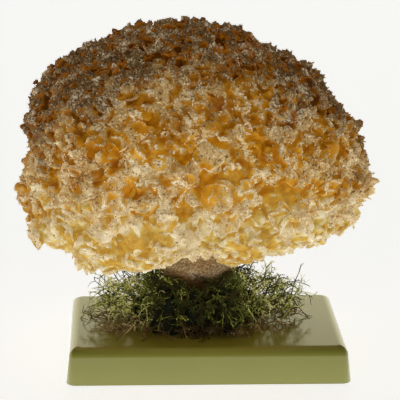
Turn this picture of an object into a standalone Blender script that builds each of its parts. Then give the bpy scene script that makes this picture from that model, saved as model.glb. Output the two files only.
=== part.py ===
"""A cauliflower fungus on a bed of moss, screwed to a moulded plinth.

The fungus is one solid: a stalk that flares into a broad head of crowded lobes. Eight tufts of moss
ring the stalk. The plinth is a moulded shell, open below, and one screw with a washer goes up
through it into the stalk.
"""

import math

import bmesh
import bpy
from mathutils import Vector, noise

MM = 0.001

# Driving dimensions, in millimetres. +X is the fungus's right, +Y its back, +Z up.
PLINTH_WIDTH = 180.0
PLINTH_DEPTH = 120.0
PLINTH_HEIGHT = 23.0
PLINTH_WALL = 3.0
PLINTH_ROUNDING = 6.0
PLINTH_DRAFT_DEG = 4.3
PLINTH_PLACE = (6.6, -1.2)  # off centre under the head, whose box's middle is the origin

HEAD_CENTRE = (-0.4, -1.2, 113.0)
HEAD_HALF_DEPTH = 95.0
# The head's front outline: its radius about HEAD_CENTRE every 15 degrees, from +X round over the top.
HEAD_OUTLINE = [
    114.0, 114.5, 111.0, 111.5, 104.0, 107.0, 110.0, 113.0, 115.5, 122.5, 124.5, 116.5,
    113.0, 113.0, 91.0, 79.0, 56.0, 43.0, 43.0, 46.0, 53.0, 62.0, 78.0, 101.0,
]
HEAD_DETAIL = 5  # the icosphere's subdivisions, which give 5120 triangles
CLUSTER_SIZE = 30.0  # how far apart the clusters of lobes stand
CLUSTER_RELIEF = 15.0  # how far a point one cluster size from a crown lies below it

STALK_PLACE = HEAD_CENTRE[:2]
# The stalk's side, from the foot up into the head: radius and height.
STALK_PROFILE = [(15.0, 23.3), (16.5, 28.0), (17.0, 38.0), (18.5, 48.0), (21.5, 57.0), (29.0, 68.0), (33.0, 84.0)]
STALK_FACETS = 40

MOSS_TUFTS = [
    # name, middle angle from +X, reach outwards, height
    ("moss_right", 0.0, 66.0, 33.0),
    ("moss_back_right", 45.0, 47.0, 35.0),
    ("moss_back", 90.0, 34.0, 31.0),
    ("moss_back_left", 135.0, 48.0, 34.0),
    ("moss_left", 180.0, 66.0, 33.0),
    ("moss_front_left", 225.0, 45.0, 34.0),
    ("moss_front", 270.0, 33.0, 34.0),
    ("moss_front_right", 315.0, 43.0, 34.0),
]
MOSS_INNER_RADIUS = 22.4  # clear of the stalk up to the moss's top
MOSS_TUCK = 7.0  # how far a tuft's round shape would run on under the stalk
MOSS_CROWDING = 1.12  # a tuft's width against its sector's, so that neighbours press flat on each other
MOSS_CLUMP = 11.0  # how far apart the moss's lumps stand
MOSS_RELIEF = 9.0

CLEARANCE = 0.3
SCREW_LENGTH = 22.0
SCREW_RADIUS = 2.0
SCREW_HEAD_RADIUS = 4.0
SCREW_HEAD_HEIGHT = 2.4
SLOT_WIDTH = 1.0
SLOT_DEPTH = 1.2
WASHER_RADIUS = 7.0
WASHER_THICKNESS = 1.0

COLOURS = {
    "plinth": ((0.24, 0.25, 0.07), 0.22, 0.0),
    "fungus": ((0.66, 0.45, 0.16), 0.6, 0.0),
    "moss": ((0.09, 0.13, 0.03), 0.9, 0.0),
    "steel": ((0.55, 0.55, 0.56), 0.3, 1.0),
}


def clear_scene():
    for obj in list(bpy.data.objects):
        bpy.data.objects.remove(obj, do_unlink=True)


def new_collection(name):
    collection = bpy.data.collections.new(name)
    bpy.context.scene.collection.children.link(collection)
    return collection


def new_material(name):
    colour, roughness, metallic = COLOURS[name]
    material = bpy.data.materials.new(name)
    material.use_nodes = True
    shader = material.node_tree.nodes["Principled BSDF"]
    shader.inputs["Base Color"].default_value = (*colour, 1.0)
    shader.inputs["Roughness"].default_value = roughness
    shader.inputs["Metallic"].default_value = metallic
    material.diffuse_color = (*colour, 1.0)
    return material


def object_from(bm, name, collection, material=None):
    """A bmesh in millimetres becomes an object in metres."""
    bmesh.ops.scale(bm, vec=(MM, MM, MM), verts=bm.verts)
    mesh = bpy.data.meshes.new(name)
    bm.to_mesh(mesh)
    bm.free()
    obj = bpy.data.objects.new(name, mesh)
    collection.objects.link(obj)
    if material:
        mesh.materials.append(material)
    return obj


def make_cutter(obj):
    obj.hide_render = True
    obj.display_type = "WIRE"
    return obj


def add_boolean(obj, other, operation):
    modifier = obj.modifiers.new(f"{operation.lower()}_{other.name}", "BOOLEAN")
    modifier.object = other
    modifier.operation = operation


def cylinder(radius, bottom, top, segments=32, place=(0.0, 0.0)):
    bm = bmesh.new()
    bmesh.ops.create_cone(bm, cap_ends=True, segments=segments, radius1=radius, radius2=radius, depth=top - bottom)
    bmesh.ops.translate(bm, vec=(place[0], place[1], (top + bottom) / 2), verts=bm.verts)
    return bm


def drafted_block(width, depth, bottom, top, rounding, segments):
    """A block whose walls lean in by the draft, with its top and upright edges rounded."""
    lean = 2 * (top - bottom) * math.tan(math.radians(PLINTH_DRAFT_DEG))
    bm = bmesh.new()
    bmesh.ops.create_cube(bm, size=1.0)
    for vert in bm.verts:
        inset = lean if vert.co.z > 0 else 0.0
        vert.co.x *= width - inset
        vert.co.y *= depth - inset
        vert.co.z = top if vert.co.z > 0 else bottom
    outer = [edge for edge in bm.edges if any(vert.co.z == top for vert in edge.verts)]
    bmesh.ops.bevel(bm, geom=outer, offset=rounding, segments=segments, profile=0.5, affect="EDGES")
    bmesh.ops.translate(bm, vec=(*PLINTH_PLACE, 0.0), verts=bm.verts)
    return bm


def make_plinth(parts, cutters, material):
    plinth = object_from(
        drafted_block(PLINTH_WIDTH, PLINTH_DEPTH, 0.0, PLINTH_HEIGHT, PLINTH_ROUNDING, 6), "plinth", parts, material
    )
    # The cavity's mouth is below the rim, so it is made wider there by the same draft.
    below = 1.0
    widening = 2 * below * math.tan(math.radians(PLINTH_DRAFT_DEG))
    cavity = drafted_block(
        PLINTH_WIDTH - 2 * PLINTH_WALL + widening,
        PLINTH_DEPTH - 2 * PLINTH_WALL + widening,
        -below,
        PLINTH_HEIGHT - PLINTH_WALL,
        PLINTH_ROUNDING - PLINTH_WALL,
        3,
    )
    add_boolean(plinth, make_cutter(object_from(cavity, "plinth_cavity", cutters)), "DIFFERENCE")
    hole = cylinder(SCREW_RADIUS + CLEARANCE, PLINTH_HEIGHT - PLINTH_WALL - 1, PLINTH_HEIGHT + 1, place=STALK_PLACE)
    add_boolean(plinth, make_cutter(object_from(hole, "screw_hole", cutters)), "DIFFERENCE")
    return plinth


def outline_radius(angle):
    """The front outline's radius at this angle, on a smooth closed curve through HEAD_OUTLINE."""
    count = len(HEAD_OUTLINE)
    place = angle % math.tau / math.tau * count
    index = int(place)
    t = place - index
    before, here, after, beyond = (HEAD_OUTLINE[(index + step) % count] for step in (-1, 0, 1, 2))
    return 0.5 * (
        2 * here
        + (after - before) * t
        + (2 * before - 5 * here + 4 * after - beyond) * t**2
        + (3 * here - before - 3 * after + beyond) * t**3
    )


def head_radius(direction):
    """The head's radius: an ellipse between its front outline and its half depth, plus domed clusters."""
    front = outline_radius(math.atan2(direction.z, direction.x))
    smooth = 1 / math.sqrt((1 - direction.y**2) / front**2 + direction.y**2 / HEAD_HALF_DEPTH**2)
    nearest = noise.voronoi(direction * smooth / CLUSTER_SIZE)[0][0]
    return smooth - CLUSTER_RELIEF * min(nearest, 1.0) ** 2


def make_stalk(cutters):
    """The stalk is a turned profile, closed at its foot and at its top inside the head."""
    bm = bmesh.new()
    points = [(0.0, STALK_PROFILE[-1][1]), *reversed(STALK_PROFILE), (0.0, STALK_PROFILE[0][1])]
    verts = [bm.verts.new((radius, 0.0, height)) for radius, height in points]
    for first, second in zip(verts, verts[1:]):
        bm.edges.new((first, second))
    stalk = object_from(bm, "stalk", cutters)
    stalk.location = (STALK_PLACE[0] * MM, STALK_PLACE[1] * MM, 0)
    screw = stalk.modifiers.new("turned", "SCREW")
    screw.steps = STALK_FACETS
    screw.render_steps = STALK_FACETS
    screw.use_merge_vertices = True
    screw.merge_threshold = 0.00001
    return make_cutter(stalk)


def make_fungus(parts, cutters, material):
    bm = bmesh.new()
    bmesh.ops.create_icosphere(bm, subdivisions=HEAD_DETAIL, radius=1.0)
    centre = Vector(HEAD_CENTRE)
    for vert in bm.verts:
        direction = vert.co.normalized()
        vert.co = centre + direction * head_radius(direction)
    fungus = object_from(bm, "fungus", parts, material)
    add_boolean(fungus, make_stalk(cutters), "UNION")
    foot = STALK_PROFILE[0][1]
    bore = cylinder(
        SCREW_RADIUS + CLEARANCE, foot - 1, PLINTH_HEIGHT - PLINTH_WALL + SCREW_LENGTH + CLEARANCE, place=STALK_PLACE
    )
    add_boolean(fungus, make_cutter(object_from(bore, "screw_bore", cutters)), "DIFFERENCE")
    return fungus


def sector_cutter(name, middle_deg, reach, bottom, top, cutters):
    """A sector of a ring round the stalk, half the clearance short of its neighbours on both sides."""
    half = math.pi / len(MOSS_TUFTS)
    middle = math.radians(middle_deg)
    inner, outer = MOSS_INNER_RADIUS, reach + 20.0
    trim_inner = CLEARANCE / 2 / inner
    trim_outer = CLEARANCE / 2 / outer
    steps = 6
    arc = [middle - half + trim_inner + step * 2 * (half - trim_inner) / steps for step in range(steps + 1)]
    corners = [(inner * math.cos(angle), inner * math.sin(angle)) for angle in arc]
    for angle in (middle + half - trim_outer, middle - half + trim_outer):
        corners.append((outer / math.cos(half) * math.cos(angle), outer / math.cos(half) * math.sin(angle)))
    bm = bmesh.new()
    base = [bm.verts.new((x + STALK_PLACE[0], y + STALK_PLACE[1], bottom)) for x, y in corners]
    face = bm.faces.new(base)
    grown = bmesh.ops.extrude_face_region(bm, geom=[face])
    raised = [item for item in grown["geom"] if isinstance(item, bmesh.types.BMVert)]
    bmesh.ops.translate(bm, vec=(0, 0, top - bottom), verts=raised)
    bmesh.ops.recalc_face_normals(bm, faces=bm.faces)
    return make_cutter(object_from(bm, f"sector_{name}", cutters))


def make_moss(parts, cutters, material):
    bottom = PLINTH_HEIGHT + CLEARANCE
    for name, middle_deg, reach, height in MOSS_TUFTS:
        bm = bmesh.new()
        bmesh.ops.create_uvsphere(bm, u_segments=28, v_segments=18, radius=1.0)
        middle = math.radians(middle_deg)
        along = Vector((math.cos(middle), math.sin(middle), 0))
        across = Vector((-math.sin(middle), math.cos(middle), 0))
        radial = (reach - MOSS_INNER_RADIUS) / 2 + MOSS_TUCK
        place = Vector((*STALK_PLACE, bottom)) + along * (reach - radial)
        broad = reach * math.tan(math.pi / len(MOSS_TUFTS)) * MOSS_CROWDING
        for vert in bm.verts:
            unit = vert.co.copy()
            lump = 1 - MOSS_RELIEF * noise.voronoi(unit * height / MOSS_CLUMP + along * 5)[0][0] / height
            vert.co = place + (along * unit.x * radial + across * unit.y * broad + Vector((0, 0, unit.z * height))) * lump
        tuft = object_from(bm, name, parts, material)
        sector = sector_cutter(name, middle_deg, reach, bottom, bottom + height + 5, cutters)
        add_boolean(tuft, sector, "INTERSECT")


def make_screw(parts, cutters, material):
    seat = PLINTH_HEIGHT - PLINTH_WALL - CLEARANCE
    washer_bottom = seat - WASHER_THICKNESS
    washer = object_from(cylinder(WASHER_RADIUS, washer_bottom, seat, 40, STALK_PLACE), "screw_washer", parts, material)
    eye = cylinder(SCREW_RADIUS + CLEARANCE, washer_bottom - 1, seat + 1, 24, STALK_PLACE)
    add_boolean(washer, make_cutter(object_from(eye, "washer_eye", cutters)), "DIFFERENCE")

    head_top = washer_bottom - CLEARANCE
    head_bottom = head_top - SCREW_HEAD_HEIGHT
    head = cylinder(SCREW_HEAD_RADIUS, head_bottom, head_top, 32, STALK_PLACE)
    screw = object_from(head, "fixing_screw", parts, material)
    shank = cylinder(SCREW_RADIUS, head_top - 1, head_top + SCREW_LENGTH, 24, STALK_PLACE)
    add_boolean(screw, make_cutter(object_from(shank, "screw_shank", cutters)), "UNION")
    slot = bmesh.new()
    bmesh.ops.create_cube(slot, size=1.0)
    bmesh.ops.scale(slot, vec=(SCREW_HEAD_RADIUS * 3, SLOT_WIDTH, SLOT_DEPTH * 2), verts=slot.verts)
    bmesh.ops.translate(slot, vec=(*STALK_PLACE, head_bottom), verts=slot.verts)
    add_boolean(screw, make_cutter(object_from(slot, "screw_slot", cutters)), "DIFFERENCE")


def main():
    clear_scene()
    parts = new_collection("cauliflower_fungus")
    cutters = new_collection("cutters")
    materials = {name: new_material(name) for name in COLOURS}
    make_plinth(parts, cutters, materials["plinth"])
    make_fungus(parts, cutters, materials["fungus"])
    make_moss(parts, cutters, materials["moss"])
    make_screw(parts, cutters, materials["steel"])


main()
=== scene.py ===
# %% [markdown]
# # A cauliflower fungus on its plinth
#
# A cauliflower fungus is one body that branches into hundreds of thin, ruffled lobes. Their margins are
# crumbly and pale, and their faces are smooth and amber where light passes through the flesh. This lesson
# grows the lobes round the solid head of the frame, beds the stalk in moss, and gives the moulded plinth
# its gloss. Shapes are worked out in millimetres, which become metres when a mesh is made. The materials
# read the finished meshes, so their own lengths are in metres.

# %% Load the frame
import math
from types import SimpleNamespace

import bpy
import numpy as np
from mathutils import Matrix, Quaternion, Vector


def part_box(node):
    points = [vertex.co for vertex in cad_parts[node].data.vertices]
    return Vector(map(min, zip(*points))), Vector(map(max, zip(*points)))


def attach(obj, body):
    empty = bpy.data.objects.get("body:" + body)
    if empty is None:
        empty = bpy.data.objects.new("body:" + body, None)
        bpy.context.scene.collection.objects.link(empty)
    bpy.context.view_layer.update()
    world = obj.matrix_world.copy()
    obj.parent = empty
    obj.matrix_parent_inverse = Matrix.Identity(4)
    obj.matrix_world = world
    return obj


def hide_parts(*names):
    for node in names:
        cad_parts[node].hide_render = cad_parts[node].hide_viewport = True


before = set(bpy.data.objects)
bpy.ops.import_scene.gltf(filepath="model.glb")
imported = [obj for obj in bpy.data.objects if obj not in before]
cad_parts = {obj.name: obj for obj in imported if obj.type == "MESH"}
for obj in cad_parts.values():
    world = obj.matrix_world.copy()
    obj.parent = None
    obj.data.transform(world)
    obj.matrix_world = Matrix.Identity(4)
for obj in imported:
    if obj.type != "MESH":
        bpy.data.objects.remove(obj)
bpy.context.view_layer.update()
MM = 0.001
TURN = 2 * math.pi
UP = np.array([0, 0, 1.0])
HEAD_SEED, MOSS_SEED = 12, 21
draw = np.random.default_rng(HEAD_SEED)

fungus_low, fungus_high = (np.array(corner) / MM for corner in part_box("fungus"))
plinth_low, plinth_high = (np.array(corner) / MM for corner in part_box("plinth"))
screw_low, screw_high = (np.array(corner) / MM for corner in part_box("fixing_screw"))
stalk_axis = (screw_low + screw_high)[:2] / 2
print("fungus", fungus_low.round(1), fungus_high.round(1), "stalk at", stalk_axis.round(1))

# %% [markdown]
# ## The camera
#
# A long lens flattens the object, as in a catalogue picture. The camera stands to the front, a little to
# the left of the middle, and looks slightly down. Its place is worked out from the point it looks at, so
# that a reader can change one angle at a time.

# %% Place the camera
CAMERA_TARGET = (2.5, -1.2, 104.6)
CAMERA_DISTANCE = 1251.0
CAMERA_PITCH, CAMERA_YAW, CAMERA_ROLL = (math.radians(degrees) for degrees in (14.90, 2.56, 0.43))
SENSOR_WIDTH = 36.0
FOCAL_PIXELS, FRAME_PIXELS = 1938.0, 400


def place_camera():
    """The camera stands one distance back along its own line of sight, and rolls about it."""
    camera = bpy.data.objects.new("camera", bpy.data.cameras.new("camera"))
    bpy.context.scene.collection.objects.link(camera)
    camera.data.sensor_width = SENSOR_WIDTH
    camera.data.lens = SENSOR_WIDTH * FOCAL_PIXELS / FRAME_PIXELS
    ahead = Vector((math.sin(CAMERA_YAW), math.cos(CAMERA_YAW), -math.tan(CAMERA_PITCH))).normalized()
    camera.location = (Vector(CAMERA_TARGET) - CAMERA_DISTANCE * ahead) * MM
    upright = ahead.to_track_quat("-Z", "Y")
    camera.rotation_mode = "QUATERNION"
    camera.rotation_quaternion = upright @ Quaternion((0, 0, 1), CAMERA_ROLL)
    bpy.context.scene.camera = camera


place_camera()

# %% [markdown]
# ## Shader maths as Python
#
# A material is a small calculation on each point of the surface. Written as Python expressions it stays
# readable, so one class wraps a socket and turns `1 - mask` or `a * b` into Math nodes, and another adds
# any other kind of node.


# %% Wrap the sockets
class Wire:
    """A node's output that can be calculated with: an expression on values adds its Math nodes."""

    def __init__(self, recipe, socket):
        self.recipe = recipe
        self.socket = socket

    def math(self, operation, *values, first=None):
        inputs = [self, *values] if first is None else [first, self]
        return self.recipe.add("ShaderNodeMath", {"operation": operation}, dict(enumerate(inputs)))

    def __add__(self, other):
        return self.math("ADD", other)

    __radd__ = __add__

    def __sub__(self, other):
        return self.math("SUBTRACT", other)

    def __rsub__(self, other):
        return self.math("SUBTRACT", first=other)

    def __mul__(self, other):
        return self.math("MULTIPLY", other)

    __rmul__ = __mul__

    def __pow__(self, other):
        return self.math("POWER", other)

    def step(self, low, high):
        """0 below low, 1 above high, with a smooth rise between."""
        return self.recipe.add(
            "ShaderNodeMapRange",
            {"interpolation_type": "SMOOTHSTEP"},
            {"Value": self, "From Min": low, "From Max": high},
        )


class Recipe:
    """The nodes of a material, or of the sky. add() takes a node's type, its settings and its inputs."""

    def __init__(self, name, kind="materials", shader="Principled BSDF"):
        self.owner = getattr(bpy.data, kind).new(name)
        self.owner.use_nodes = True
        self.tree = self.owner.node_tree
        self.shader = self.tree.nodes[shader]

    def add(self, kind, settings=None, inputs=None, output=0):
        node = self.tree.nodes.new(kind)
        for name, value in (settings or {}).items():
            setattr(node, name, value)
        for name, value in (inputs or {}).items():
            self.put(node.inputs[name], value)
        return Wire(self, node.outputs[output])

    def put(self, socket, value):
        if isinstance(value, Wire):
            self.tree.links.new(value.socket, socket)
        elif isinstance(value, tuple) and len(value) == 3 and socket.type == "RGBA":
            socket.default_value = (*value, 1.0)
        else:
            socket.default_value = value

    def surface(self, **inputs):
        """Sets the shader's own sockets. An underscore in a name stands for a space."""
        for name, value in inputs.items():
            self.put(self.shader.inputs[name.replace("_", " ")], value)
        return self.owner

    def place(self):
        """Object coordinates, in metres."""
        return self.add("ShaderNodeTexCoord", output="Object")

    def axes(self, place=None):
        """X, Y and Z of a place, each a value. Without one they are the object's, in metres."""
        split = self.add("ShaderNodeSeparateXYZ", None, {0: place or self.place()})
        return [Wire(self, socket) for socket in split.socket.node.outputs]

    def height(self):
        """The object's Z, in metres."""
        return self.axes()[2]

    def value(self, name):
        """A number that the mesh carries at each point."""
        return self.add("ShaderNodeAttribute", {"attribute_name": name}, output="Fac")

    def noise(self, grain, detail=3.0, roughness=0.5, bend=0.0):
        """Noise whose blotches are about this many millimetres across, drawn out into curls by the bend."""
        inputs = {"Vector": self.place(), "Scale": 1 / (grain * MM), "Detail": detail, "Roughness": roughness}
        return self.add("ShaderNodeTexNoise", None, {**inputs, "Distortion": bend}, output="Fac")

    def streaks(self, across, along, seed):
        """Noise on two values that the mesh carries, and a third that makes each copy different."""
        grid = self.add("ShaderNodeCombineXYZ", None, {0: across, 1: along, 2: seed})
        inputs = {"Vector": grid, "Scale": 1.0, "Detail": 3.0}
        return self.add("ShaderNodeTexNoise", None, inputs, output="Fac")

    def ramp(self, value, *stops):
        """A colour by the value, from stops of a place from 0 to 1 and its colour."""
        colour = self.add("ShaderNodeValToRGB", None, {"Fac": value}, output="Color")
        elements = colour.socket.node.color_ramp.elements
        while len(elements) < len(stops):
            elements.new(1.0)
        for element, (place, shade) in zip(elements, stops):
            element.position, element.color = place, (*shade, 1.0)
        return colour

    def mix(self, factor, first, second, blend="MIX"):
        """Two colours, from the first where the factor is 0 to the second where it is 1."""
        settings = {"data_type": "RGBA", "blend_type": blend}
        return self.add("ShaderNodeMix", settings, {0: factor, 6: first, 7: second}, output=2)

    def tint(self, colour, by, share=1.0):
        """A colour multiplied by another one, by this share."""
        return self.mix(share, colour, by, "MULTIPLY")

    def bump(self, height, depth):
        """A normal for relief whose height of 1 is this many millimetres."""
        inputs = {"Height": height, "Distance": depth * MM, "Strength": 1.0}
        return self.add("ShaderNodeBump", None, inputs, output="Normal")


# %% [markdown]
# ## Meshes from whole arrays
#
# Each shape in this lesson is a function on a grid, worked out for all its points at once. Small helpers
# number the faces of grids and tubes and join the parts, and the last one fills Blender's mesh in bulk, which
# takes a moment where a loop over half a million corners would take minutes.


# %% Make meshes
def unit(vectors):
    """Each vector divided by its own length."""
    return vectors / np.maximum(np.linalg.norm(vectors, axis=-1, keepdims=True), 1e-9)


def ring(count):
    """Angles of this many points round a closed ring."""
    return np.arange(count) * TURN / count


def spokes(around):
    """Level directions at these angles about the vertical."""
    return np.stack([np.cos(around), np.sin(around), np.zeros_like(around)], -1)


def grid_quads(rows, columns, wrap=False):
    """Corner numbers of the quads between neighbours. To wrap, the last column is next to the first."""
    row = np.arange(rows - 1)[:, None] * columns
    column = np.arange(columns if wrap else columns - 1)[None, :]
    beside = (column + 1) % columns
    corners = row + column, row + beside, row + columns + beside, row + columns + column
    return np.stack(corners, -1).reshape(-1, 4)


def tube_faces(rows, columns):
    """The quads between a tube's rings, and one face to close each of its ends."""
    end = np.arange(columns)[None]
    return [grid_quads(rows, columns, wrap=True), end[:, ::-1], end + (rows - 1) * columns]


def repeated(faces, copies, points_each):
    """The same faces for every copy, each numbered from its own first point."""
    shift = np.arange(copies)[:, None, None] * points_each
    return (faces[None] + shift).reshape(-1, faces.shape[1])


def joined(parts):
    """Several (points, faces, values) as one, with the faces renumbered. faces is a list of arrays."""
    points, faces, values, count = [], [], [], 0
    for part_points, part_faces, part_values in parts:
        points.append(part_points.reshape(-1, 3))
        faces.extend(array + count for array in part_faces)
        values.append(part_values)
        count += len(points[-1])
    merged = {name: np.concatenate([part[name].ravel() for part in values]) for name in values[0]}
    return np.concatenate(points), faces, merged


def make_piece(name, points, faces, values, material, slot, replaces=()):
    """A mesh object with its place in its mesh. values are numbers that the material reads at each point."""
    mesh = bpy.data.meshes.new(name)
    mesh.vertices.add(len(points))
    mesh.vertices.foreach_set("co", (points * MM).astype(np.float32).ravel())
    corners = np.concatenate([array.ravel() for array in faces])
    sizes = np.concatenate([np.full(len(array), array.shape[1]) for array in faces])
    mesh.loops.add(len(corners))
    mesh.loops.foreach_set("vertex_index", corners.astype(np.int32))
    mesh.polygons.add(len(sizes))
    mesh.polygons.foreach_set("loop_start", np.concatenate([[0], np.cumsum(sizes)[:-1]]).astype(np.int32))
    mesh.update(calc_edges=True)
    for key, numbers in values.items():
        attribute = mesh.attributes.new(key, "FLOAT", "POINT")
        attribute.data.foreach_set("value", numbers.astype(np.float32))
    mesh.shade_smooth()
    mesh.materials.append(material)
    piece = bpy.data.objects.new(name, mesh)
    bpy.context.scene.collection.objects.link(piece)
    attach(piece, "root")
    if replaces:
        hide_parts(*replaces)
    print(name, (sizes - 2).sum(), "triangles")
    return piece


# %% [markdown]
# ## The finish of the flesh
#
# One material serves the whole fungus. The mesh gives it a few numbers at each point: rim, 0 deep at a
# lobe's root and 1 at its margin, tone, which differs from lobe to lobe, fan, the distance across a lobe,
# crumb, 1 on the loose grains, and window, 1 where smooth flesh shows and 0 where crust covers it. Deep in a
# lobe the flesh is amber. Towards the margin it pales to cream under a crumbly crust.
# The crown has dried in the air, so there the flesh is browned and the crust is toasted to a dark grey
# brown. The flesh low on the head is young and milky.
#
# The calculation is long, so it goes in steps. The first works out the numbers that every colour depends on.

# %% Read each point of the flesh
LEVEL_TILT = 0.266  # the colours' levels sink towards the back by this slope
AGE_LEVELS = (0.118, 0.190)  # metres of level over which the flesh slowly darkens
TOAST_LEVELS = (0.164, 0.192)  # and over which it turns to the brown of the crown
MILK_LEVELS = (0.082, 0.122)  # and over which it stops being milky
AGE_SHARE = 0.45  # how much of the crown's brown comes with slow ageing
SIDE_TOAST = 3.8  # metres of level added for each square metre of distance to the side
SHUT_RANGE = (0.22, 0.78)  # of the window's value, over which the crust gives way


def read_flesh(recipe):
    """The numbers that the colours depend on.

    toast is 1 on the dried crown, milky is 1 on the young flesh, and shut is 1 where crust covers the flesh.
    drift, blotch, fleck and grain are noise from the coarsest to the finest, streak runs along a lobe, and
    own is from -0.5 to 0.5 by the lobe.
    """
    at = SimpleNamespace(**{name: recipe.value(name) for name in ("rim", "tone", "crumb", "window")})
    at.sideways, at.back, at.height = recipe.axes()
    at.own = at.tone - 0.5
    at.drift = recipe.noise(24, 3) - 0.5
    at.blotch = recipe.noise(11, 2.5, 0.5) - 0.5
    at.fleck = recipe.noise(3.2, 3, 0.65) - 0.5
    at.streak = recipe.streaks(recipe.value("fan") * 0.85, at.rim * 1.8, at.tone * 37) - 0.5
    curl = 1 - (recipe.noise(3.2, 2, 0.5, bend=1.5) - 0.5).math("ABSOLUTE") * 8
    fine = recipe.noise(1.2, 3, 0.7) * 0.60 + curl.step(0, 1) * 0.12
    at.grain = fine + at.streak * 0.42 + at.fleck * 0.15 + 0.13
    level = at.height + at.back * LEVEL_TILT
    aged = level + at.sideways * at.sideways * SIDE_TOAST
    slow = (aged + at.drift * 0.10 + at.own * 0.03).step(*AGE_LEVELS)
    crowned = (aged + at.drift * 0.06 + at.blotch * 0.10).step(*TOAST_LEVELS)
    at.toast = slow * AGE_SHARE + crowned * (1 - AGE_SHARE)
    at.milky = 1 - (level + at.drift * 0.10).step(*MILK_LEVELS)
    at.shut = 1 - (at.window + at.fleck * 0.9 + at.blotch * 0.5).step(*SHUT_RANGE)
    return at


# %% [markdown]
# The flesh's own colour runs from amber to cream as it ripens towards the margin. Each of the three ramps
# below is one age of it: fresh, milky and toasted. Brown stains and a mottle keep it from looking painted,
# and painted shade makes it darker deep in the hollows, towards a lobe's root.

# %% Colour the flesh
FRESH = (
    (0.50, (0.54, 0.230, 0.008)), (0.74, (0.56, 0.295, 0.026)),
    (0.88, (0.57, 0.370, 0.120)), (1.00, (0.66, 0.510, 0.260)),
)
MILKY = (
    (0.50, (0.49, 0.285, 0.042)), (0.72, (0.52, 0.370, 0.088)),
    (0.86, (0.58, 0.460, 0.220)), (1.00, (0.62, 0.550, 0.370)),
)
# toasted flesh is brown, and the first stop, near black deep in a lobe, is painted shade in the crown's
# crevices
TOASTED_AND_SHADED = (
    (0.48, (0.07, 0.020, 0.001)), (0.70, (0.28, 0.092, 0.003)),
    (0.86, (0.15, 0.062, 0.010)), (1.00, (0.24, 0.160, 0.080)),
)
STAIN = (0.66, 0.50, 0.36)
MOTTLES = (0.84, 0.78, 0.68), (1.13, 1.14, 1.12)  # a darker and a lighter one
# painted shade: darker towards a lobe's root and in the hollows of the heart, less so on the milky flesh
PAINTED_HOLLOW_SHADE = (0.32, (0.66, 0.54, 0.38)), (0.60, (1.0, 1.0, 1.0))


def flesh_colour(recipe, at):
    """A ramp by ripeness for each age, then stains, mottle and the painted shade of the hollows multiplied
    in.
    """
    shaken = at.own * 0.14 + at.drift * 0.9 + at.fleck * 0.35 + at.streak * 0.30
    ripe = at.rim * 0.85 + at.shut * 0.36 - at.toast * 0.06 + shaken - 0.06
    fresh, milky, toasted_and_shaded = (recipe.ramp(ripe, *stops) for stops in (FRESH, MILKY, TOASTED_AND_SHADED))
    stained = recipe.tint(fresh, STAIN, recipe.noise(26, 3).step(0.50, 0.64) * (1 - at.milky) * 0.75)
    skin = recipe.mix(at.toast**0.7, recipe.mix(at.milky, stained, milky), toasted_and_shaded)
    mottle = recipe.mix((recipe.noise(5, 3, 0.6) + at.blotch * 0.5).step(0.36, 0.62), *MOTTLES)
    hollow_shade = recipe.ramp(at.rim + at.fleck * 0.3, *PAINTED_HOLLOW_SHADE)
    return recipe.tint(recipe.tint(skin, mottle), hollow_shade, 1 - at.milky * 0.8)


# %% [markdown]
# The crust lies over the flesh. It is thickest towards the margin and where the windows are shut, ends in a
# pale line along the very margin, and has burnt specks along its border. It too has three ages.

# %% Cover the flesh with crust
PALE_CRUST = (
    (0.26, (0.13, 0.060, 0.016)), (0.40, (0.41, 0.235, 0.075)),
    (0.54, (0.58, 0.400, 0.170)), (0.70, (0.90, 0.810, 0.590)),
)
MILKY_CRUST = (
    (0.28, (0.46, 0.330, 0.150)), (0.46, (0.65, 0.510, 0.270)),
    (0.70, (0.88, 0.820, 0.630)),
)
DARK_CRUST = (
    (0.28, (0.02, 0.009, 0.003)), (0.42, (0.07, 0.034, 0.012)),
    (0.56, (0.20, 0.125, 0.055)), (0.70, (0.62, 0.520, 0.360)),
)
BURNT = (0.13, 0.060, 0.016), (0.030, 0.013, 0.004)  # on the pale crust and on the dark one
DARK_POWER = 1.8  # the crust and its crumbs stay pale longer than the flesh as it turns to toast


def crust_cover(at):
    """How much crust covers each point, with the margin's line laid over it."""
    rough = at.fleck * 0.65 + at.streak * 0.4 + at.drift * 0.6 + at.own * 0.2
    crust = (at.rim * 0.75 + at.shut * 0.36 + rough - at.milky * 0.12 - at.toast * 0.02).step(0.66, 1.10)
    line = (at.rim + at.fleck * 0.25).step(0.97, 1.05) * (1 - at.toast * 0.7) * 0.70
    return crust + line - crust * line


def crusted_colour(recipe, at, skin, crust):
    """The skin mixed with the crust's colour, then burnt where the cover is about one half."""
    pale = recipe.ramp(at.grain * 0.75 + at.blotch * 0.65 + 0.145, *PALE_CRUST)
    milky = recipe.ramp(at.grain * 0.70 + at.blotch * 0.65 + 0.16, *MILKY_CRUST)
    dark = recipe.ramp(at.grain + at.blotch * 0.8, *DARK_CRUST)
    cover = recipe.mix(at.toast**DARK_POWER, recipe.mix(at.milky * 0.8, pale, milky), dark)
    border = (1 - (crust - 0.5).math("ABSOLUTE") * 2) * (1 - at.milky * 0.6)
    burnt = border.step(0.15, 0.85) * recipe.noise(1.7, 2, 0.6).step(0.50, 0.60) * 0.9
    return recipe.mix(burnt, recipe.mix(crust * 0.9, skin, cover), recipe.mix(at.toast, *BURNT))
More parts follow.
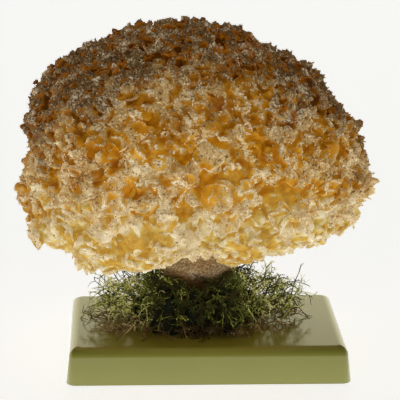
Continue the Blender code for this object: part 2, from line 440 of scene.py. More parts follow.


# %% [markdown]
# Loose crumbs take their colour from their own tone, and the neck, where the lobes meet the stalk, is brown
# fuzz. The finished colour goes to two sockets: a part of it shades as a solid's colour does, and the rest is
# a painted glow, an emission that stands in for light wandering through the flesh and evens out its shade.

# %% Mix the flesh
# pale crumbs; the dark end of their tones is partly painted shade: dark grains that stand for shadow lines
# beside the margins
PALE_AND_SHADOW_CRUMB = (0.0, (0.12, 0.06, 0.02)), (0.3, (0.42, 0.27, 0.11)), (0.8, (0.80, 0.68, 0.44))
DARK_CRUMB = (0.0, (0.02, 0.010, 0.004)), (0.6, (0.10, 0.058, 0.024)), (0.95, (0.40, 0.30, 0.18))
NECK_FUZZ = (0.26, (0.10, 0.055, 0.022)), (0.46, (0.34, 0.245, 0.125)), (0.68, (0.62, 0.53, 0.36))
NECK_RADII = (0.036, 0.052)  # metres from the stalk's axis, over which the fuzz ends
NECK_HEIGHTS = (0.066, 0.078)  # and over which it ends upwards
NECK_SHARE = 0.85
# the second share is a painted glow: emission in place of light that passes through the flesh
BASE_SHARE, PAINTED_GLOW_SHARE = 0.62, 0.555  # of the finished colour


def neck_at(at):
    """1 near the stalk's axis and low, 0 elsewhere."""
    beside, behind = at.sideways - float(stalk_axis[0]) * MM, at.back - float(stalk_axis[1]) * MM
    near = 1 - (beside * beside + behind * behind).step(*(radius**2 for radius in NECK_RADII))
    return near * (1 - (at.height + at.blotch * 0.02).step(*NECK_HEIGHTS))


def relief_at(at, crust):
    """Grain that stands out where there is crust, and streaks everywhere."""
    return at.grain * (0.25 + crust * 0.75) + at.streak * 0.5


def flesh_material():
    recipe = Recipe("fungus_flesh")
    at = read_flesh(recipe)
    crust = crust_cover(at)
    covered = crusted_colour(recipe, at, flesh_colour(recipe, at), crust)
    crumbs = (recipe.ramp(at.tone, *stops) for stops in (PALE_AND_SHADOW_CRUMB, DARK_CRUMB))
    outside = recipe.mix(at.crumb, covered, recipe.mix(at.toast**DARK_POWER, *crumbs))
    colour = recipe.mix(neck_at(at) * NECK_SHARE, outside, recipe.ramp(at.grain, *NECK_FUZZ))
    return recipe.surface(
        Base_Color=recipe.tint(colour, (BASE_SHARE,) * 3),
        Roughness=0.55 + crust * 0.3,
        Specular_IOR_Level=0.12,
        Subsurface_Weight=0.3,
        Subsurface_Radius=(1.0, 0.5, 0.12),
        Subsurface_Scale=0.004,
        # painted glow
        Emission_Color=colour,
        Emission_Strength=PAINTED_GLOW_SHARE,
        Normal=recipe.bump(relief_at(at, crust), 0.5),
    )


flesh = flesh_material()

# %% [markdown]
# ## The head's envelope
#
# The lobes' margins end on the outer form of the head, which the frame's solid fungus already has. To ask
# for its surface in any direction, each of its vertices is seen from the heart of the head as a direction
# and a radius. The radius between them is a mean weighted by closeness, so the form is smooth everywhere.

# %% Ask for the envelope
HEART_HEIGHT = 113.0  # of the point that the head is seen from
HEAD_FLOOR = 56.0  # below this height the solid is stalk
HEAD_FLOOR_RADIUS = 34.0
CLOSENESS = 500.0
ASKEW = np.array([0.31, 0.42, 0.85])  # a direction along no axis

heart = np.array([*(fungus_low + fungus_high)[:2] / 2, HEART_HEIGHT])
solid = np.array([vertex.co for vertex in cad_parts["fungus"].data.vertices]) / MM
solid = np.unique(solid.round(2), axis=0)
from_axis = np.hypot(*(solid[:, :2] - stalk_axis).T)
solid = solid[(solid[:, 2] > HEAD_FLOOR) & ((from_axis > HEAD_FLOOR_RADIUS) | (solid[:, 2] > HEART_HEIGHT))]
solid_radius = np.linalg.norm(solid - heart, axis=1)
solid_way = unit(solid - heart)


def envelope(ways):
    """Radius in each direction: the solid's radii weighted by exp(closeness * (cosine of the angle - 1))."""
    weights = np.exp(CLOSENESS * (ways @ solid_way.T - 1))
    return (weights @ solid_radius) / np.maximum(weights.sum(1), 1e-30)


def envelope_normals(ways, reach=0.05):
    """Outward normals, from the envelope's own points a small step away along two tangents."""
    across = unit(np.cross(ways, ASKEW))
    along = np.cross(ways, across)
    steps = []
    for tangent in (across, along):
        ahead, behind = unit(ways + reach * tangent), unit(ways - reach * tangent)
        steps.append(ahead * envelope(ahead)[:, None] - behind * envelope(behind)[:, None])
    normals = unit(np.cross(*steps))
    return normals * np.sign((normals * ways).sum(1))[:, None]


radii = solid_radius.min().round(1), solid_radius.max().round(1)
print("envelope from", len(solid), "points, radius", radii[0], "to", radii[1])

# %% [markdown]
# ## Where the lobes stand
#
# Real lobes crowd the head evenly because each needs room, yet never in rows. Random places thinned by
# chance would leave bald spots, so the places start at random and then push their neighbours away a few
# times, which ends in an even scatter. The lobes are broad low on the head and fine on its crown and sides.

# %% Spread places over the head
SCALE_HEIGHTS, SCALE_BY_HEIGHT = (60, 110, 160, 210), (1.34, 1.18, 0.95, 0.82)
SCALE_SIDES, SCALE_BY_SIDE = (55, 105), (1.0, 0.72)
CANDIDATES_EACH = 6
PUSH = 0.35
NECK_CLEARANCE = 24.0  # no lobe stands nearer the stalk's axis than this, unless it is on the upper half


def lobe_scale(points):
    """Size against the ordinary: falls with height, and a little more towards the sides."""
    aside = np.abs(points[:, 0] - heart[0])
    by_height = np.interp(points[:, 2], SCALE_HEIGHTS, SCALE_BY_HEIGHT)
    return by_height * np.interp(aside, SCALE_SIDES, SCALE_BY_SIDE)


def spread(count, gap, rounds=14):
    """Directions spread evenly over the envelope: points nearer than the gap push each other apart."""
    ways = unit(draw.normal(size=(count * CANDIDATES_EACH, 3)))
    radius = envelope(ways)
    room = (radius / lobe_scale(heart + ways * radius[:, None])) ** 2
    ways = ways[draw.choice(len(ways), count, replace=False, p=room / room.sum())]
    for _ in range(rounds):
        points = heart + ways * envelope(ways)[:, None]
        apart = points[:, None] - points[None]
        distance = np.linalg.norm(apart, axis=-1) + 1e-6
        reach = gap * lobe_scale(points)[:, None]
        push = np.clip(1 - distance / reach, 0, None) / distance * reach
        ways = unit(points - heart + (apart * push[..., None]).sum(1) * PUSH)
    points = heart + ways * envelope(ways)[:, None]
    from_stalk = np.hypot(*(points[:, :2] - stalk_axis).T)
    clear = (from_stalk > NECK_CLEARANCE) | (points[:, 2] > HEART_HEIGHT)
    return points[clear], envelope_normals(ways[clear])


# %% [markdown]
# ## Ripples, windows and folds
#
# Irregular shapes come from ripples: smooth pseudo noise, the mean of a few sine waves. Ripples of two
# sizes also decide where the head has windows, in which the smooth amber flesh shows. The largest amber
# patches of the front, and the largest pale ones between them, are placed one by one. Bent ripples make the
# curly folds of the flesh behind the lobes.

# %% Make ripples and place the windows
WINDOW_SIZES, WINDOW_SHARES, WINDOW_LEVEL = (19.0, 8.0), (0.5, 1.0), 0.21
PLACED_SHARE, WINDOW_CONTRAST = 1.3, 2.2
AMBER_PATCHES = [
    # x, level, half width, half height
    (-53, 186, 11, 4), (-17, 195, 7, 4), (15, 205, 5, 7), (37, 208, 9, 4), (11, 180, 9, 6),
    (30, 186, 5, 6), (10, 166, 8, 5), (-41, 167, 11, 5), (-31, 152, 9, 5), (-62, 138, 12, 7),
    (-89, 120, 3, 12), (-77, 112, 3, 14), (-62, 118, 9, 4), (-97, 97, 8, 6), (-40, 112, 13, 6),
    (5, 107, 16, 11), (-34, 89, 11, 7), (37, 134, 8, 7), (68, 137, 8, 5), (86, 139, 6, 5),
    (51, 104, 12, 7), (84, 110, 9, 4), (13, 151, 9, 4), (-21, 138, 9, 6), (-70, 78, 6, 5),
    (-44, 77, 8, 5), (23, 63, 9, 5), (50, 76, 7, 4), (81, 85, 6, 3), (33, 154, 5, 9),
    (-54, 64, 6, 4), (-35, 70, 6, 4), (-71, 64, 5, 3), (34, 70, 6, 4), (62, 81, 6, 3),
    (-14, 92, 6, 4),
]
PALE_PATCHES = [
    (-32, 180, 15, 9), (-51, 196, 10, 3), (-73, 179, 8, 5), (-25, 105, 14, 8), (-38, 126, 11, 8),
    (14, 128, 14, 6), (-57, 91, 16, 5), (-97, 81, 12, 4), (-3, 78, 16, 10), (62, 88, 18, 8),
    (91, 128, 9, 6), (55, 157, 10, 6), (4, 173, 9, 4), (0, 193, 6, 6), (52, 181, 4, 5),
    (88, 95, 10, 6),
]


def ripple_field(size, count=9):
    """Smooth pseudo noise: the mean of sine waves in random directions, about this many millimetres long."""
    waves = unit(draw.normal(size=(count, 3))) * TURN / size
    shift = draw.uniform(0, TURN, count)
    return lambda points: np.sin(points @ waves.T + shift).mean(-1) * 2


def ripple(points, size):
    """A ripple that is used only here."""
    return ripple_field(size)(points)


def levels_of(points):
    """Heights, corrected for the tilt that the colours and the hem share."""
    return points[..., 2] + LEVEL_TILT * points[..., 1]


def patch_at(points, patches):
    """The nearest patch's exp(-distance squared), with the distance in its half sizes. The back has none."""
    level = levels_of(points)
    near = [((points[..., 0] - x) / wide) ** 2 + ((level - y) / high) ** 2 for x, y, wide, high in patches]
    return np.exp(-np.minimum.reduce(near)) * np.clip(0.5 - points[..., 1] / 30, 0, 1)


window_fields = [ripple_field(size) for size in WINDOW_SIZES]


def window_at(points):
    """1 in the amber patches, which run over neighbouring lobes, and 0 in the crusted ones between them."""
    wide, narrow = (share * field(points) for share, field in zip(WINDOW_SHARES, window_fields))
    placed = PLACED_SHARE * (patch_at(points, AMBER_PATCHES) - patch_at(points, PALE_PATCHES))
    return np.clip(0.5 + WINDOW_CONTRAST * (wide + narrow + placed - WINDOW_LEVEL), 0, 1)


def folds(points, size):
    """Curly ridges: 1 along their crests, where a bent ripple passes through zero, and 0 in the hollows."""
    bend = np.stack([ripple(points, 1.6 * size) for _ in range(3)], -1)
    ridge = np.clip(1 - 2.4 * np.abs(ripple(points + 0.3 * size * bend, size)), 0, 1)
    return ridge**2 * (3 - 2 * ridge)


# %% [markdown]
# ## One lobe as a surface
#
# A lobe is a fan: it spreads from a root inside the head to a round margin. Its sheet is cupped across,
# curls in or out at the end and ruffles more and more towards the margin, because the margin grows faster
# than the root. On a fan the natural parameters are an angle and a distance from the root, which give the
# margin its round outline. The same formula serves every lobe, and each takes its own sizes and angles from
# the ranges below. Lobes low on the head and on its crown are calmer, and those on the crown have plump lips.

# %% Grow lobes
FRONT, BACK = 1.0, -1.0
SIZES, OPENINGS = (0.60, 1.45), (0.70, 1.20)  # against the reach, and in radians to each side
ROOT_SHARE = 0.12  # how far out from the point of the fan its root lies
ROUNDING = 0.58  # how much nearer the ends of the margin lie than its middle
SCALLOPS = (0.06, (3, 6)), (0.03, (7, 11))  # height and waves of the margin's outline
CUPS, CURLS = (-0.35, 0.40), (-0.20, 0.28)
RUFFLES = ((4, 8), (8, 12)), ((0.07, 0.20), (0.02, 0.06))  # waves, and heights as shares of the size
RUFFLE_DELAYS = 1.2, 2.0  # how far the waves lag behind at the margin
SHEET, LIPS = 1.1, (0.4, 1.6)  # thickness, and what a plump lip adds to it
LUMPS, GRIT = ((0.90, 9), (0.55, 4)), 0.15  # rise and size, and the margin's random roughness
RISE_SPREAD, ROLL_SPREAD = 0.13, 0.25
PROUD_RANGE = 7.0  # how far below its tip a lobe is as deep as its root
CALM_HEIGHTS, CALM_SHARES = (62.0, 115.0, 155.0, 190.0), (0.5, 1.0, 1.0, 0.8)
PLUMP_HEIGHTS, PLUMP_LIP = (120.0, 190.0), 3.2


def lobe_frames(normals, rise, heading, spin):
    """Growth, width and face directions of each lobe.

    Growth runs along the surface at this angle from uphill, give or take the spin, and rises from the
    surface by the given share. The face looks out.
    """
    count = len(normals)
    uphill = unit(UP - normals * normals[:, 2:])
    turn = draw.normal(heading, spin, count)[:, None]
    along = uphill * np.cos(turn) + np.cross(normals, uphill) * np.sin(turn)
    lift = np.clip(draw.normal(rise, RISE_SPREAD, count), 0.05, 0.9)[:, None]
    growth = unit(lift * normals + (1 - lift) * along)
    width = unit(np.cross(growth, normals))
    roll = draw.normal(0, ROLL_SPREAD, count)[:, None]
    width = width * np.cos(roll) + np.cross(growth, width) * np.sin(roll)
    return growth, width, np.cross(width, growth)


def grow_lobes(tips, normals, scale, rows, columns, reach, rise, heading, spin):
    """Closed shells, one for each tip: returns points (lobe, row, loop, 3), faces and values.

    With u from -1 to 1 across and v from 0 at the root to 1 at the margin, the angle is u times the opening
    and the distance from the root is v times the margin's own radius there. Those two give the sheet's
    place along growth and width. Along the face it moves by cup + curl + ruffle, and by small lumps. The
    loop runs over the outer face and back over the inner one, half a thickness to each side.
    """
    count = len(tips)
    growth, width, face = lobe_frames(normals, rise, heading, spin)

    def each(low, high):
        return draw.uniform(low, high, count)[:, None, None]

    calm = np.interp(tips[:, 2], CALM_HEIGHTS, CALM_SHARES)[:, None, None]
    size = reach * scale[:, None, None] * each(*SIZES)
    v = (1 - (1 - np.linspace(0, 1, rows)) ** 1.6)[None, :, None]
    across = np.linspace(-1, 1, columns)
    u = np.concatenate([across, across[::-1]])[None, None, :]
    side = np.concatenate([np.full(columns, FRONT), np.full(columns, BACK)])[None, None, :]
    opening = each(*OPENINGS)
    wide, narrow = (height * np.sin(u * each(*waves) + each(0, TURN)) for height, waves in SCALLOPS)
    margin = 1 - ROUNDING * np.abs(u) ** 2.5 + (wide + narrow)
    distance = size * (ROOT_SHARE + (1 - ROOT_SHARE) * v) * (1 + (margin - 1) * v)
    angle = u * opening
    forward, sideways = distance * np.cos(angle) - size, distance * np.sin(angle)
    cup = each(*CUPS) * sideways**2 / size
    curl = size * calm * each(*CURLS) * v**3
    waves = [each(*counts) for counts in RUFFLES[0]]
    ruffle = size * calm * v**1.6 * sum(
        each(*heights) * np.sin(u * wave + each(0, TURN) + delay * v)
        for heights, wave, delay in zip(RUFFLES[1], waves, RUFFLE_DELAYS)
    )
    plump = np.interp(tips[:, 2], PLUMP_HEIGHTS, (1.0, PLUMP_LIP)) * np.sqrt(scale)
    lip = plump[:, None, None] * each(*LIPS) * v**4
    thick = (SHEET + lip) * (1 - 0.55 * v**24) * np.sqrt(np.clip(1.03 - u**8, 0, None))
    outwards = cup + curl + ruffle + side * thick / 2
    grown = (growth, forward), (width, sideways), (face, outwards)
    points = tips[:, None, None] + sum(way[:, None, None] * amount[..., None] for way, amount in grown)
    coarse, fine = (rise * ripple(points, length) for rise, length in LUMPS)
    grit = draw.normal(size=points.shape) * GRIT * (v**6)[..., None]
    points = points + face[:, None, None] * (coarse + fine * v)[..., None] + grit
    proud = ((points - tips[:, None, None]) * normals[:, None, None]).sum(-1)
    values = {
        "rim": 0.5 * v + 0.5 * np.clip(1 + proud / PROUD_RANGE, 0, 1.2),
        "tone": np.broadcast_to(each(0, 1), points.shape[:3]),
        "fan": np.broadcast_to(angle * size, points.shape[:3]),
        "window": window_at(points),
        "crumb": np.zeros(points.shape[:3]),
    }
    return points, lobe_faces(rows, columns), values


def lobe_faces(rows, columns):
    """The quads round a lobe's loops, and between its two faces along the root and the margin."""
    loop = 2 * columns
    strip = np.arange(columns - 1)
    root = np.stack([strip, strip + 1, loop - 2 - strip, loop - 1 - strip], -1)
    ends = root[:, ::-1], root + (rows - 1) * loop
    return np.concatenate([grid_quads(rows, loop, wrap=True), *ends])[:, ::-1]


# %% [markdown]
# The head takes three sizes of lobes, from the broad ones to the tiny ones between them, and each size has a
# coarser grid where its lobes are drawn small. Neighbouring lobes rise together, which makes knobs, and in
# the middle of a window some are missing, so that the smooth flesh behind them shows.

# %% Grow them in three sizes
LOBE_KINDS = {
    # count, gap, (rows, columns, reach, rise, heading, spin)
    "broad": (1020, 13.6, (6, 18, 13.5, 0.25, 0.0, 1.3)),
    "small": (620, 16.0, (6, 12, 8.5, 0.30, 0.0, 1.7)),
    "tiny": (520, 15.0, (4, 9, 5.6, 0.30, 0.0, 1.8)),
}
FINE_SCALE, FINE_COLUMNS = 0.93, 0.75  # lobes under this scale have one row fewer and this share of columns
KNOB_SIZE, KNOB_RISE = 13.0, 1.4
TIP_DEPTHS = (-2.2, 0.7)
BARE_SHARE = 0.35  # how many lobes are missing in the middle of a window
knobs = ripple_field(KNOB_SIZE)
lobes = {}
for kind, (count, gap, shape) in LOBE_KINDS.items():
    places, normals = spread(count, gap)
    kept = draw.random(len(places)) > BARE_SHARE * window_at(places)
    places, normals = places[kept], normals[kept]
    tips = places + normals * (KNOB_RISE * knobs(places) + draw.uniform(*TIP_DEPTHS, len(places)))[:, None]
    scale = lobe_scale(places)
    for name, chosen in ((kind, scale > FINE_SCALE), (f"{kind}_fine", scale <= FINE_SCALE)):
        grid = shape if name == kind else (shape[0] - 1, round(shape[1] * FINE_COLUMNS), *shape[2:])
        grown = grow_lobes(tips[chosen], normals[chosen], scale[chosen], *grid)
        lobes[name] = (unit(places - heart)[chosen], *grown)
        print(name, "lobes:", chosen.sum())

# %% [markdown]
# Other lobes hang: they grow downhill, and lie on each other like folds of cloth. Where the head meets its
# stalk they stand on a cone round it, as a collar. At the left end a few make a small flap below the rest, a
# few more the tip beyond the notch in the hem, and the cheek is a group that stands out from the side above.

# %% Hang the collar, the flap, the tip and the cheek
COLLAR_COUNT, COLLAR_SCALE = 170, 0.9
COLLAR_TOP, COLLAR_FOOT = (47.0, 73.0), (29.0, 66.0)  # radius from the stalk's axis, height
COLLAR_GRID = (6, 12, 10.0, 0.12, math.pi, 0.7)  # rows, columns, reach, rise, heading, spin
FLAP_COUNT, FLAP_SCALE = 24, 0.8
FLAP_NORMAL = np.array([-0.8, -0.5, -0.2])
FLAP_GRID = (6, 12, 9.0, 0.12, math.pi, 0.9)  # in the collar's order
FLAPS = {
    # two corners of a box for the margins: x, y, level
    "flap": ((-108.0, -24.0, 72.0), (-95.0, 8.0, 83.0)),
    "tip": ((-79.0, -20.0, 56.0), (-66.0, 6.0, 62.0)),
    "cheek": ((-114.0, -24.0, 102.0), (-110.0, 6.0, 116.0)),
}
stalk_foot = np.array([*stalk_axis, 0.0])


def hang(tips, normals, scale, grid):
    """Lobes of one scale, with the directions in which they lie from the heart."""
    return (unit(tips - heart), *grow_lobes(tips, unit(normals), np.full(len(tips), scale), *grid))


def hang_collar():
    """Lobes on a cone between the collar's foot and its top."""
    around, up = draw.uniform(0, TURN, COLLAR_COUNT), draw.random(COLLAR_COUNT)
    radius, height = (foot + (top - foot) * up for foot, top in zip(COLLAR_FOOT, COLLAR_TOP))
    tips = spokes(around) * radius[:, None] + stalk_foot
    tips[:, 2] = height
    return hang(tips, spokes(around) * 0.8 - 0.6 * UP, COLLAR_SCALE, COLLAR_GRID)


def hang_flap(low, high):
    """Lobes whose margins lie in a box at the left end."""
    tips = draw.uniform(low, high, (FLAP_COUNT, 3))
    tips[:, 2] -= LEVEL_TILT * tips[:, 1]
    return hang(tips, FLAP_NORMAL + draw.normal(0, 0.15, tips.shape), FLAP_SCALE, FLAP_GRID)


lobes["collar"] = hang_collar()
lobes.update({name: hang_flap(*corners) for name, corners in FLAPS.items()})

# %% [markdown]
# ## Crumbs on the margins
#
# Up close the pale crust is made of grains about a millimetre across. They are too many for fine meshes, so
# each is a tetrahedron of four faces, stretched and turned at random, and half sunk in a lobe's margin.
# They gather in patches, and there are few on the milky lobes low on the head.

# %% Scatter crumbs
CRUMB_HEIGHTS, CRUMBS_BY_HEIGHT = (60, 120, 170), (0.35, 0.9, 1.2)
CRUMB_RIM = 0.65  # they begin at this share of the way to the margin
CRUMB_SIZES, CRUMB_STRETCHES = (0.40, 0.90), ((0.9, 0.5, 0.5), (1.8, 0.9, 0.9))


def tetrahedron():
    """Four of the eight corners of a cube, and the four triangles between them."""
    points = np.array([(1, 1, 1), (1, -1, -1), (-1, 1, -1), (-1, -1, 1)]) / math.sqrt(3)
    return points, np.array([(0, 1, 2), (0, 3, 1), (0, 2, 3), (1, 3, 2)])


def crumbs_at(places, sizes):
    """A stretched and turned grain at each place."""
    count = len(places)
    base, triangles = tetrahedron()
    turned = unit(draw.normal(size=(count, 3, 3)))
    stretch = sizes[:, None] * draw.uniform(*CRUMB_STRETCHES, (count, 3))
    points = base[None] * stretch[:, None, :]
    first = turned[:, 0]
    second = unit(np.cross(first, turned[:, 1]))
    third = np.cross(first, second)
    frames = np.stack([first, second, third], 1)
    points = points @ frames + places[:, None]
    return points, repeated(triangles, count, len(base))


def crumb_part(points, values, chance):
    """Crumbs near the margins of these lobes, as a part to join. The chance holds at the margin itself."""
    by_height = np.interp(points[..., 2], CRUMB_HEIGHTS, CRUMBS_BY_HEIGHT)
    by_rim = np.clip((values["rim"] - CRUMB_RIM) / (1 - CRUMB_RIM), 0, 1)
    kept = draw.random(by_rim.shape) < chance * (1.1 - values["window"]) * by_height * by_rim
    places = points[kept]
    grains, faces = crumbs_at(places, draw.uniform(*CRUMB_SIZES, len(places)))
    tone = np.repeat(draw.uniform(0, 1, len(grains)), grains.shape[1])
    ones = np.ones(len(tone))
    return grains, [faces], {"rim": ones, "tone": tone, "fan": 0 * ones, "window": 0 * ones, "crumb": ones}


# %% [markdown]
# ## The lobes as pieces
#
# The head is shared among six meshes by where each lobe points: the crown, the front, the two sides, the
# back, and the skirt that faces down round the stalk. Each mesh holds its lobes and the crumbs on them.
# A lobe that would reach below the ragged hem, or past the head's left or right edge, is left out.

# %% Build the regions
CROWN_LEVEL, SKIRT_LEVEL = 0.80, -0.45
CRUMB_CHANCE = {
    "broad_fine": 0.7, "small": 0.45, "small_fine": 0.45, "tiny": 0.3, "tiny_fine": 0.3, "collar": 0.5,
}
OTHER_CHANCE = 0.6  # for the kinds that aren't in the table
HEM_PLACES = (-112, -99, -96, -86, -82, -79, -76, -34, -24, -14, 10, 20, 26, 59, 72, 85, 94, 99, 106)
HEM_LEVELS = (70, 70, 78, 78, 71, 61, 54.5, 56, 58, 63, 64, 60, 59, 69, 73, 74, 80, 85, 93)
LEFT_LEVELS = (70, 96, 100, 120, 124, 146, 152, 166, 178, 196, 210)
LEFT_PLACES = (-110, -110, -116, -116, -109, -109, -116, -113, -106, -94, -78)
RIGHT_LEVELS, RIGHT_PLACES = (90, 100, 114, 134, 154, 188, 205), (112, 114, 117, 113, 110, 92, 74)


def region_of(ways):
    """0 crown, 1 skirt, 2 right, 3 back, 4 left, 5 front."""
    quarter = np.round(np.arctan2(ways[:, 1], ways[:, 0]) / (TURN / 4)).astype(int) % 4 + 2
    return np.where(ways[:, 2] > CROWN_LEVEL, 0, np.where(ways[:, 2] < SKIRT_LEVEL, 1, quarter))


def inside_outline(points):
    """Whether all of a lobe keeps above the ragged hem and between the left and right edges."""
    sideways, level = points[..., 0], levels_of(points)
    above = level > np.interp(sideways, HEM_PLACES, HEM_LEVELS)
    left, right = np.interp(level, LEFT_LEVELS, LEFT_PLACES), np.interp(level, RIGHT_LEVELS, RIGHT_PLACES)
    return (above & (sideways > left) & (sideways < right)).all((1, 2))


for number, region in enumerate(("crown", "skirt", "right", "back", "left", "front")):
    parts = []
    for kind, (ways, points, faces, values) in lobes.items():
        chosen = (region_of(ways) == number) & inside_outline(points)
        shell = points[chosen]
        values = {key: numbers[chosen] for key, numbers in values.items()}
        parts.append((shell, [repeated(faces, len(shell), shell.shape[1] * shell.shape[2])], values))
        parts.append(crumb_part(shell, values, CRUMB_CHANCE.get(kind, OTHER_CHANCE)))
        print(region, kind, len(shell), "lobes", len(parts[-1][0]), "crumbs")
    make_piece(f"lobes_{region}", *joined(parts), flesh, "fungus_flesh", ("fungus",))

# %% [markdown]
# ## The heart and the stalk
#
# Behind the lobes lies solid flesh, which closes the gaps between their roots and is amber, with a painted
# glow. It is the envelope drawn in by the depth of the pockets, and has curly folds of three sizes, and
# crumbs of its own.
# Below it the stalk flares from the moss up into the head. It is a turned profile, roughened by waves of
# several sizes.

# %% Build the heart and the stalk
POCKET_DEPTH = 5.6
FOLD_SIZES, FOLD_RISES = (19, 11, 6.5), (3.6, 2.0, 0.9)
FOLD_TINTS = (0.34, 0.30, 0.16)  # how much each size of fold adds to rim
HOLLOW_RIM = 0.36  # and rim between the folds
HEART_CRUMBS = 0.5
WINDOW_CALM = 0.7  # how much of the folds is missing in a window
POLE_GAP = 0.001  # radians between the first ring and the pole
ENVELOPE_BATCHES = 24
STALK_HEIGHTS = (24.0, 30.0, 40.0, 50.0, 58.0, 66.0, 78.0, 92.0)
STALK_RADII = (15.0, 16.3, 17.2, 19.0, 22.5, 29.0, 36.0, 38.0)
STALK_WAVES = (1.3, 14), (0.7, 5), (0.25, 2)  # rise and size
SHADED_HEIGHTS = (0.052, 0.066)  # metres, over which the stalk comes out of the brown shade of the moss
FIBRES = (0.28, (0.06, 0.032, 0.014)), (0.5, (0.34, 0.24, 0.14)), (0.7, (0.70, 0.60, 0.44))


def heart_grid(rows=160, columns=240):
    """The envelope drawn in by the pockets' depth, with folds and the lobes' knobs raised on it."""
    polar = np.linspace(POLE_GAP, math.pi - POLE_GAP, rows)[:, None, None]
    ways = (np.sin(polar) * spokes(ring(columns)) + np.cos(polar) * UP).reshape(-1, 3)
    radius = np.concatenate([envelope(part) for part in np.array_split(ways, ENVELOPE_BATCHES)])
    depth = POCKET_DEPTH * lobe_scale(heart + ways * radius[:, None])
    points = heart + ways * (radius - depth)[:, None]
    ridges = [folds(points, size) for size in FOLD_SIZES]
    window = window_at(points)
    relief = sum(rise * ridge for rise, ridge in zip(FOLD_RISES, ridges)) * (1 - WINDOW_CALM * window)
    points += ways * (relief + KNOB_RISE * knobs(points))[:, None]
    none = np.zeros(len(points))
    rim = HOLLOW_RIM + sum(tint * ridge for tint, ridge in zip(FOLD_TINTS, ridges))
    values = {"rim": rim, "tone": none + 0.5, "fan": none, "window": window, "crumb": none}
    return points, [array[:, ::-1] for array in tube_faces(rows, columns)], values


def stalk_grid(rows=40, columns=64):
    height = np.linspace(STALK_HEIGHTS[0], STALK_HEIGHTS[-1], rows)[:, None, None]
    outward = spokes(ring(columns))
    points = stalk_foot + np.interp(height, STALK_HEIGHTS, STALK_RADII) * outward + height * UP
    points = points.reshape(-1, 3)
    outward = unit((points - stalk_foot) * (1, 1, 0))
    rough = sum(rise * ripple(points, size) for rise, size in STALK_WAVES)
    return points + outward * rough[:, None], tube_faces(rows, columns)


def stalk_material():
    recipe = Recipe("stalk_flesh")
    fibre = recipe.noise(1.6, 4, 0.7)
    patch = recipe.noise(14, 3)
    rise = (recipe.height() + (patch - 0.5) * 0.016).step(*SHADED_HEIGHTS)
    earthy = recipe.mix(patch.step(0.35, 0.65), (0.95, 0.80, 0.55), (1.0, 1.0, 0.92))
    shaded = recipe.mix(rise, (0.30, 0.14, 0.06), earthy)
    return recipe.surface(
        Base_Color=recipe.tint(recipe.ramp(fibre, *FIBRES), shaded),
        Roughness=0.9,
        Specular_IOR_Level=0.1,
        Normal=recipe.bump(fibre, 1.2),
    )


points, faces, values = heart_grid()
heart_parts = [(points, faces, values), crumb_part(points, values, HEART_CRUMBS)]
make_piece("heart", *joined(heart_parts), flesh, "fungus_flesh", ("fungus",))
make_piece("stalk", *stalk_grid(), {}, stalk_material(), "fungus_flesh", ("fungus",))

# %% [markdown]
# ## The moss
#
# Feather moss is a tangle of thin strands that curl at their tips. Each has shorter branches on two sides,
# and both are set with tiny pointed leaves. A strand is a three sided tube along a path, and its leaves are
# single thin blades. Some strands climb round the stalk up to the head, and others creep over the plinth,
# dry and brown. The ends of the bed are airy and painted pale, with a painted glow as if light shone through
# their strands, while the tufts in front are painted dark, as shade under the head. A low near black mound in
# each tuft is painted shade for its dense middle, and each strand is painted darker at its foot, deep in the
# tuft.

# %% Make strands
STRAND_STEPS, BRANCH_STEPS = 9, 4
STRAND_LEAVES, BRANCH_LEAVES = 12, 5
BRANCHES_EACH = 5
WANDER = 0.11  # size of a step of the random walk
LEAF, STEM, SHADE_MOUND = 0.0, 1.0, 2.0  # what the value wood says of a point
ACROSS = np.array([0.3, 0.5, 0.81])  # a direction along no axis


def curling_paths(starts, ways, lengths, steps, curl, droop):
    """Paths whose headings turn by the curl from start to tip, each in a plane of its own.

    heading = way * cos(bend) + side * sin(bend), with bend = curl * share ** 1.5, shaken by a random walk and
    drawn down by droop * share ** 2. Share runs from 0 at the start to 1 at the tip.
    """
    share = np.linspace(0, 1, steps)[None, :, None]
    side = unit(np.cross(ways, draw.normal(size=ways.shape)))[:, None]
    bend = curl[:, None, None] * share**1.5
    headings = ways[:, None] * np.cos(bend) + side * np.sin(bend)
    headings = headings + draw.normal(0, WANDER, headings.shape).cumsum(1)
    headings[..., 2:] -= droop * share**2
    headings = unit(headings)
    legs = headings * (lengths / steps)[:, None, None]
    return starts[:, None] + legs.cumsum(1) - legs[:, :1], headings


def stems_along(paths, headings, thickness, sides=3):
    """Tubes about the paths, thinner towards the tip, with closed ends."""
    count, steps = paths.shape[:2]
    first = unit(np.cross(headings, ACROSS))
    second = np.cross(headings, first)
    around = ring(sides)[:, None]
    taper = thickness[:, None] * (1 - 0.6 * np.linspace(0, 1, steps) ** 2)[None] / 2
    hoops = first[:, :, None] * np.cos(around) + second[:, :, None] * np.sin(around)
    points = paths[:, :, None] + hoops * taper[..., None, None]
    return points, [repeated(array, count, steps * sides) for array in tube_faces(steps, sides)]


def leaves_along(paths, headings, size, leaves):
    """Blades of four corners, folded along the middle, that lean forward from the paths on all sides."""
    count, steps = paths.shape[:2]
    along = np.linspace(0.6, steps - 1.01, leaves)
    step = along.astype(int)
    part = (along - step)[None, :, None]
    place = paths[:, step] * (1 - part) + paths[:, step + 1] * part
    heading = headings[:, step]
    out = unit(np.cross(heading, draw.normal(size=heading.shape)))
    flat = np.cross(heading, out)
    reach = size[:, None, None] * draw.uniform(0.6, 1.3, (count, leaves, 1))
    tip = place + unit(0.55 * out + heading) * reach
    middle = place + unit(0.8 * out + 0.6 * heading) * reach * 0.45
    half = flat * reach * 0.24
    points = np.stack([place, middle - half, tip, middle + half], 2)
    return points, [repeated(np.array([[0, 1, 2, 3]]), count * leaves, 4)]


